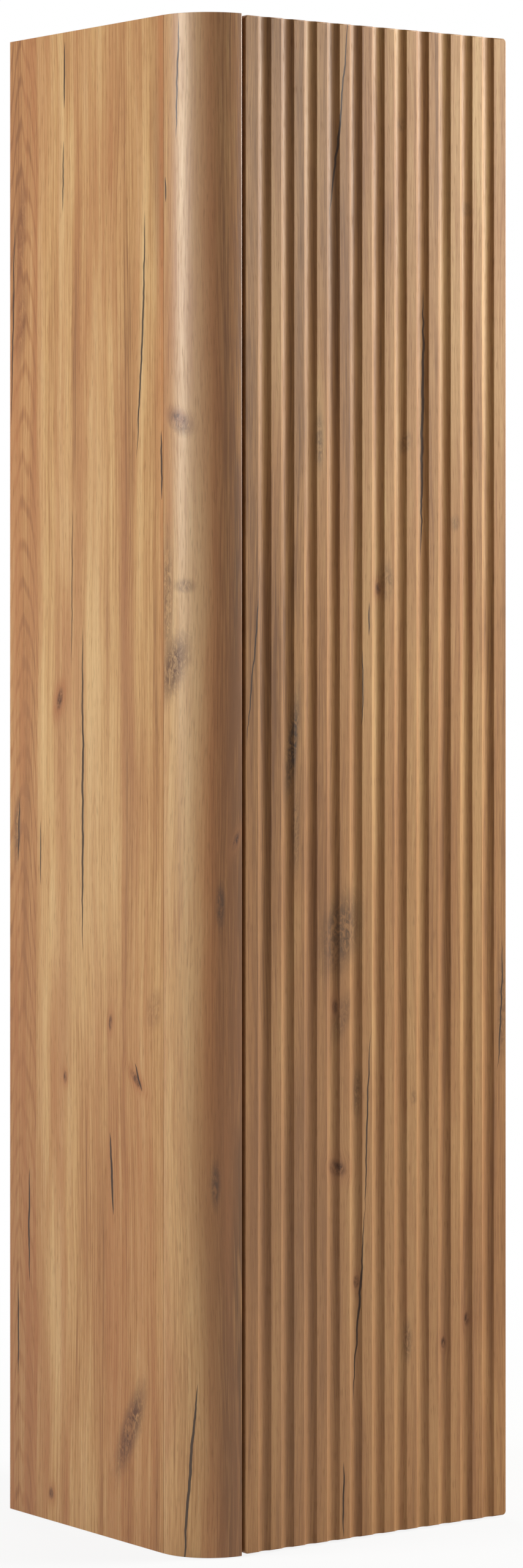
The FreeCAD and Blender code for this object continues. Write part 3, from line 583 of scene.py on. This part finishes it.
def make_materials(colours):
    """Every finish of the cabinet, most of them by the record's slot."""
    crack_group()
    knot_group()
    return {
        "side_oak": side_oak(colours),
        "post_oak": post_oak(colours),
        "door_oak": door_oak(colours),
        "far_oak": far_oak(colours),
        "board_oak": board_oak(colours),
        "edge_band": edge_oak(colours, "shelf"),
        "side_band": edge_oak(colours, "right side"),
        # Lacquered hardboard: even off-white with a faint fibre mottle
        "back_board": speckled("lacquered hardboard", "e0dcd3", "d6d1c6", 3.0, 0.5, lift=0.15),
        "rail_board": chipboard(),
        # Turned beech: pinkish, fine flecks along the rod
        "beech": speckled("beech dowel", "cfa67b", "b98a5e", 1.2, 0.65, lift=0.3, stretch=(0.3, 1.0, 1.0)),
        # Die-cast zinc: grey, slightly grainy skin
        "zinc": speckled("die-cast zinc", "a9a9ac", "8d8d90", 0.8, 0.42, metallic=1.0, lift=0.25),
        # Bright nickel on pressed steel: smooth with faint clouding
        "nickel": speckled("nickel-plated steel", "cfccc6", "b9b5ad", 1.5, 0.24, metallic=1.0, lift=0.08),
        # Zinc-plated screw steel: cooler and duller than the nickel
        "screw_steel": speckled("zinc-plated steel", "c3c4c6", "a4a6a9", 0.6, 0.32, metallic=1.0, lift=0.15),
        # Moulded grey ABS with a fine spark-eroded texture
        "latch_plastic": speckled("moulded ABS, grey", "9d9d9b", "8d8d8b", 0.5, 0.48, lift=0.3),
        # Moulded white POM: smooth, with a soft waxy gleam
        "plunger_plastic": speckled("moulded POM, white", "dcdbd6", "cfcec8", 0.5, 0.36, lift=0.15),
        # Nickel-plated ferrite: dark, slightly rough
        "magnet": speckled("plated magnet", "5b5b5f", "4a4a4d", 0.5, 0.38, metallic=1.0, lift=0.2),
        # Soft clear polyurethane: pale and translucent-looking
        "bumper": speckled("clear polyurethane", "d3d6d4", "c2c6c4", 0.8, 0.3, lift=0.1),
    }


# Mesh helpers
def only(piece):
    bpy.ops.object.select_all(action="DESELECT")
    piece.select_set(True)
    bpy.context.view_layer.objects.active = piece


def new_box(name, low, high):
    """A box from its lowest to its highest corner, with its place in its mesh."""
    bpy.ops.object.select_all(action="DESELECT")
    bpy.ops.mesh.primitive_cube_add(size=1.0, location=(low + high) / 2)
    bpy.ops.transform.resize(value=high - low)
    bpy.ops.object.transform_apply(location=True, rotation=True, scale=True)
    bpy.context.object.name = name
    return bpy.context.object


def new_rod(radius, low, high, vertices):
    """A rod between two points on a line along one axis."""
    bpy.ops.object.select_all(action="DESELECT")
    turn = (high - low).to_track_quat("Z", "Y").to_euler()
    bpy.ops.mesh.primitive_cylinder_add(vertices=vertices, radius=radius, depth=(high - low).length,
                                        location=(low + high) / 2, rotation=turn)
    bpy.ops.object.transform_apply(location=True, rotation=True, scale=True)
    return bpy.context.object


def apply_modifier(piece, kind, **settings):
    only(piece)
    made = piece.modifiers.new(kind.title(), kind)
    for name, value in settings.items():
        setattr(made, name, value)
    bpy.ops.object.modifier_apply(modifier=made.name)


def cut(piece, cutter):
    apply_modifier(piece, "BOOLEAN", operation="DIFFERENCE", solver="EXACT", object=cutter)
    bpy.data.objects.remove(cutter)


def round_edges(piece, width, segments, shortest=0.0, fits=None, **places):
    """Bevels the edges that lie at the places given for x, y or z, are long enough and fit the test."""
    only(piece)
    bpy.ops.object.mode_set(mode="EDIT")
    bpy.ops.mesh.select_mode(type="EDGE")
    bpy.ops.mesh.select_all(action="DESELECT")
    mesh = bmesh.from_edit_mesh(piece.data)
    chosen = []
    for edge in mesh.edges:
        a, b = (end.co for end in edge.verts)
        there = all(near(getattr(a, axis), at) and near(getattr(b, axis), at) for axis, at in places.items())
        if there and edge.calc_length() > shortest and (fits is None or fits(a, b)):
            chosen.append(edge)
    if not chosen:
        raise RuntimeError(f"{piece.name} has no edge to round there")
    for edge in chosen:
        edge.select_set(True)
    bmesh.update_edit_mesh(piece.data)
    bpy.ops.mesh.bevel(offset=width, offset_type="OFFSET", segments=segments, profile=0.5, affect="EDGES")
    bpy.ops.object.mode_set(mode="OBJECT")


def near(a, b):
    return abs(a - b) < NEAR


def smooth(piece):
    only(piece)
    bpy.ops.object.shade_smooth_by_angle(angle=math.radians(32))
    apply_modifier(piece, "WEIGHTED_NORMAL", mode="FACE_AREA", weight=80, keep_sharp=True)


def closed(piece):
    """Stops the script if the mesh has an open or doubled edge."""
    mesh = bmesh.new()
    mesh.from_mesh(piece.data)
    faults = sum(not edge.is_manifold for edge in mesh.edges)
    mesh.free()
    if faults:
        raise RuntimeError(f"{piece.name} has {faults} open edges")


def stand_for(piece, node, slot, body):
    """Gives a new piece its finish and its body, and hides the CAD node that it stands for."""
    piece.data.materials.clear()
    piece.data.materials.append(FINISH[slot])
    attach(piece, body)
    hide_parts(node)


def dress(node, slot, edge=0.0):
    """Gives a CAD node its finish, and softens its sharp edges."""
    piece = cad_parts[node]
    piece.data.materials.clear()
    piece.data.materials.append(FINISH[slot])
    if edge:
        weld = piece.modifiers.new("Weld", "WELD")
        weld.merge_threshold = WELD_REACH
        bevel = piece.modifiers.new("Bevel", "BEVEL")
        bevel.width = edge
        bevel.segments = 2
        bevel.limit_method = "ANGLE"
        bevel.angle_limit = math.radians(40)


FINISH = {}


class CABINET_OT_finishes(bpy.types.Operator):
    """Make every finish of the cabinet"""
    bl_idname = "cabinet.finishes"
    bl_label = "Finishes"

    def execute(self, context):
        FINISH.update(make_materials(context.scene.cabinet_colours))
        return {"FINISHED"}


class CABINET_OT_fluted_door(bpy.types.Operator):
    """Model the fluted door slab with its rounded edges and hinge bores"""
    bl_idname = "cabinet.fluted_door"
    bl_label = "Fluted Door"

    def execute(self, context):
        size = context.scene.cabinet_sizes
        low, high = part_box("door_panel")
        door = new_box("fluted_door", low, high)
        round_edges(door, size.door_corner, segments=6, fits=lambda a, b: near(a.x, b.x) and near(a.z, b.z))
        round_edges(door, size.door_edge, segments=4, y=low.y)
        round_edges(door, size.hinge_edge, segments=8, shortest=LONG_EDGE, x=high.x, y=high.y)
        half = size.flute_width / 2
        out = math.sqrt(size.flute_radius ** 2 - half ** 2)
        run = (size.flute_count - 1) * size.flute_pitch
        first = (low.x + high.x - run) / 2
        foot = Vector((first, low.y - out, low.z - CUT_PAST))
        head = Vector((first, low.y - out, high.z + CUT_PAST))
        flutes = new_rod(size.flute_radius, foot, head, vertices=128)
        apply_modifier(flutes, "ARRAY", count=size.flute_count, use_relative_offset=False,
                       use_constant_offset=True, constant_offset_displace=(size.flute_pitch, 0.0, 0.0))
        cut(door, flutes)
        middles = [first + i * size.flute_pitch for i in range(size.flute_count)]
        mouths = [middle + side for middle in middles for side in (-half, half)]
        round_edges(door, size.flute_arris, segments=3, shortest=LONG_EDGE, y=low.y,
                    fits=lambda a, b: any(abs(a.x - mouth) < MOUTH_REACH for mouth in mouths))
        for hinge in HINGES:
            cup_low, cup_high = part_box("hinge_cup_" + hinge)
            centre = Vector((cup_high.x - size.cup_radius, high.y, (cup_low.z + cup_high.z) / 2))
            bore_end = Vector((centre.x, cup_low.y, centre.z))
            mouth = centre + Vector((0.0, CUT_PAST, 0.0))
            cut(door, new_rod(size.cup_radius, bore_end, mouth, vertices=72))
        closed(door)
        smooth(door)
        stand_for(door, "door_panel", "door_oak", "door")
        return {"FINISHED"}


class CABINET_OT_round_post(bpy.types.Operator):
    """Model the quarter-round post between the side and the door"""
    bl_idname = "cabinet.round_post"
    bl_label = "Round Post"

    def execute(self, context):
        size = context.scene.cabinet_sizes
        low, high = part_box("front_post")
        axis = post_axis()
        bpy.ops.object.select_all(action="DESELECT")
        middle = (low.x + size.post_wall / 2, axis.y, (low.z + high.z) / 2)
        bpy.ops.mesh.primitive_plane_add(size=1.0, location=middle, rotation=(math.pi / 2, 0.0, 0.0))
        post = bpy.context.object
        post.name = "round_post"
        post.scale = (size.post_wall, high.z - low.z, 1.0)
        bpy.ops.object.transform_apply(location=True, rotation=True, scale=True)
        bpy.ops.object.mode_set(mode="EDIT")
        bpy.ops.mesh.select_all(action="SELECT")
        bpy.ops.mesh.spin(steps=36, angle=-math.pi / 2, center=axis, axis=(0.0, 0.0, 1.0))
        bpy.ops.mesh.select_all(action="SELECT")
        bpy.ops.mesh.remove_doubles(threshold=MERGE_REACH)
        bpy.ops.mesh.normals_make_consistent(inside=False)
        bpy.ops.object.mode_set(mode="OBJECT")
        front = axis.y - size.post_radius
        round_edges(post, size.post_edge, segments=4, shortest=LONG_EDGE, x=axis.x, y=front)
        round_edges(post, size.seam, segments=1, shortest=LONG_EDGE, x=low.x, y=axis.y)
        round_edges(post, size.board_edge, segments=2, fits=lambda a, b: near(a.z, b.z)
                    and (near(a.z, high.z) or near(a.z, low.z)))
        closed(post)
        smooth(post)
        stand_for(post, "front_post", "post_oak", "carcass")
        return {"FINISHED"}


class CABINET_OT_boards(bpy.types.Operator):
    """Finish the side boards, decks, shelves, edge bands, back panel and wall rails"""
    bl_idname = "cabinet.boards"
    bl_label = "Boards and Shelves"

    def execute(self, context):
        edge = context.scene.cabinet_sizes.board_edge
        dress("left_side_panel", "side_oak", edge)
        dress("right_side_panel", "far_oak", edge)
        for node in ("top_panel", "bottom_panel", "fixed_shelf", "lower_shelf", "upper_shelf"):
            dress(node, "board_oak", edge)
            dress(node + "_band", "edge_band", edge)
        dress("right_side_band", "side_band", edge)
        dress("back_panel", "back_board")
        dress("lower_rail", "rail_board", edge)
        dress("upper_rail", "rail_board", edge)
        return {"FINISHED"}


class CABINET_OT_hinges(bpy.types.Operator):
    """Finish the three concealed hinges and their screws"""
    bl_idname = "cabinet.hinges"
    bl_label = "Hinges"

    def execute(self, context):
        edge = context.scene.cabinet_sizes.metal_edge
        for hinge in HINGES:
            for part in ("hinge_arm_", "hinge_plate_", "hinge_cup_"):
                dress(part + hinge, "nickel", edge)
            dress("hinge_pin_" + hinge, "nickel")
        for node in ("hinge_plate_screws", "hinge_cup_screws", "hinge_arm_screws"):
            dress(node, "screw_steel", edge / 2)
        return {"FINISHED"}


class CABINET_OT_push_latch(bpy.types.Operator):
    """Finish the push latch, its plunger, magnet and strike, and the door bumpers"""
    bl_idname = "cabinet.push_latch"
    bl_label = "Push Latch"

    def execute(self, context):
        edge = context.scene.cabinet_sizes.metal_edge
        dress("latch_body", "latch_plastic", edge)
        dress("latch_plunger", "plunger_plastic", edge)
        dress("latch_magnet", "magnet", edge / 2)
        dress("latch_strike", "nickel", edge)
        dress("latch_screws", "screw_steel", edge / 2)
        dress("latch_strike_screw", "screw_steel", edge / 2)
        dress("door_bumpers", "bumper", 2 * edge)
        return {"FINISHED"}


class CABINET_OT_joinery(bpy.types.Operator):
    """Finish the cam locks, bolts, dowels and shelf pins"""
    bl_idname = "cabinet.joinery"
    bl_label = "Joinery"

    def execute(self, context):
        edge = context.scene.cabinet_sizes.metal_edge
        dress("cam_locks", "zinc", edge / 2)
        dress("cam_bolts", "zinc")
        for node in ("panel_dowels", "post_dowels", "rail_dowels"):
            dress(node, "beech", edge)
        for node in ("lower_shelf_pins", "upper_shelf_pins"):
            dress(node, "nickel", edge / 2)
        return {"FINISHED"}


class CABINET_OT_stage(bpy.types.Operator):
    """Set up the camera, the softboxes, the pale floor and the white surround"""
    bl_idname = "cabinet.stage"
    bl_label = "Stage"

    def execute(self, context):
        stage = context.scene.cabinet_stage
        context.scene.view_settings.view_transform = "Standard"
        bpy.ops.object.select_all(action="DESELECT")
        level_turn = (math.pi / 2, 0.0, math.radians(CAMERA_TURN))
        bpy.ops.object.camera_add(location=CAMERA_PLACE, rotation=level_turn)
        camera = context.object
        camera.data.sensor_width = SENSOR_WIDTH
        camera.data.lens = stage.lens
        camera.data.shift_y = CAMERA_SHIFT
        context.scene.camera = camera
        for name, setting, place, target, size, fill, gleam in LAMPS:
            aim = (Vector(target) - Vector(place)).to_track_quat("-Z", "Y").to_euler()
            bpy.ops.object.light_add(type="AREA", location=place, rotation=aim)
            lamp = context.object
            lamp.name = name
            lamp.data.shape = "RECTANGLE"
            lamp.data.size, lamp.data.size_y = size
            lamp.data.energy = getattr(stage, setting)
            lamp.visible_diffuse, lamp.visible_glossy = fill, gleam
        bpy.data.objects["key softbox"].data.color = stage.tint[:3]
        self.floor(context)
        self.surround(context, stage.ambient)
        return {"FINISHED"}

    def seen(self, node):
        """One where the camera, a reflection or glass looks, and nought where light falls on the cabinet."""
        path = node("LightPath").outputs
        looked_at = node("Math", {0: path["Is Camera Ray"], 1: path["Is Glossy Ray"]}, operation="MAXIMUM")
        return node("Math", {0: looked_at, 1: path["Is Transmission Ray"]}, operation="MAXIMUM")

    def floor(self, context):
        bpy.ops.object.select_all(action="DESELECT")
        bpy.ops.mesh.primitive_circle_add(vertices=96, radius=FLOOR_RADIUS, fill_type="NGON",
                                          location=(0.0, 0.0, -FLOOR_DROP))
        floor = context.object
        floor.name = "studio_floor"
        bpy.ops.object.transform_apply(location=True, rotation=True, scale=True)
        # Matt pale paint that looks white, and lets a faint shadow show near the cabinet
        material, node = new_material("painted studio floor")
        place = node("TexCoord")
        away = node("VectorMath", {0: place.outputs["Object"]}, operation="LENGTH")
        fade = node("MapRange", {0: away.outputs["Value"], 1: WHITE_FROM, 2: WHITE_TO, 3: NEAR_WHITE, 4: 1.0},
                    interpolation_type="SMOOTHSTEP")
        share = node("Math", {0: self.seen(node), 1: fade}, operation="MULTIPLY")
        paint = node("BsdfDiffuse", {"Color": context.scene.cabinet_colours.floor})
        white = node("Emission", {"Color": WHITE, "Strength": 1.0})
        node("OutputMaterial", {0: node("MixShader", {0: share, 1: paint, 2: white})})
        floor.data.materials.append(material)

    def surround(self, context, ambient):
        world = bpy.data.worlds.new("studio")
        context.scene.world = world
        world.use_nodes = True
        world.node_tree.nodes.clear()
        node = partial(add, world.node_tree)
        level = node("MapRange", {0: self.seen(node), 1: 0.0, 2: 1.0, 3: ambient, 4: 1.0})
        sky = node("Background", {"Color": WHITE, "Strength": level})
        node("OutputWorld", {0: sky})


class CABINET_PT_sidebar(bpy.types.Panel):
    """Sizes, colours and steps of the cabinet"""
    bl_label = "Fluted Column Cabinet"
    bl_space_type = "VIEW_3D"
    bl_region_type = "UI"
    bl_category = "Cabinet"

    def draw(self, context):
        layout = self.layout
        scene = context.scene
        for group in (scene.cabinet_sizes, scene.cabinet_colours, scene.cabinet_stage):
            column = layout.column(align=True)
            for name in group.bl_rna.properties.keys():
                if name not in ("rna_type", "name"):
                    column.prop(group, name)
        for step in STEPS:
            layout.operator(step.bl_idname)


GROUPS = (CabinetSizes, CabinetColours, CabinetStage)
STEPS = (CABINET_OT_finishes, CABINET_OT_fluted_door, CABINET_OT_round_post, CABINET_OT_boards,
         CABINET_OT_hinges, CABINET_OT_push_latch, CABINET_OT_joinery, CABINET_OT_stage)


def register():
    for kind in GROUPS + STEPS + (CABINET_PT_sidebar,):
        bpy.utils.register_class(kind)
    bpy.types.Scene.cabinet_sizes = PointerProperty(type=CabinetSizes)
    bpy.types.Scene.cabinet_colours = PointerProperty(type=CabinetColours)
    bpy.types.Scene.cabinet_stage = PointerProperty(type=CabinetStage)


def unregister():
    del bpy.types.Scene.cabinet_stage
    del bpy.types.Scene.cabinet_colours
    del bpy.types.Scene.cabinet_sizes
    for kind in reversed(GROUPS + STEPS + (CABINET_PT_sidebar,)):
        bpy.utils.unregister_class(kind)


def main():
    register()
    bpy.ops.cabinet.finishes()
    bpy.ops.cabinet.fluted_door()
    bpy.ops.cabinet.round_post()
    bpy.ops.cabinet.boards()
    bpy.ops.cabinet.hinges()
    bpy.ops.cabinet.push_latch()
    bpy.ops.cabinet.joinery()
    bpy.ops.cabinet.stage()


if __name__ == "__main__":
    main()
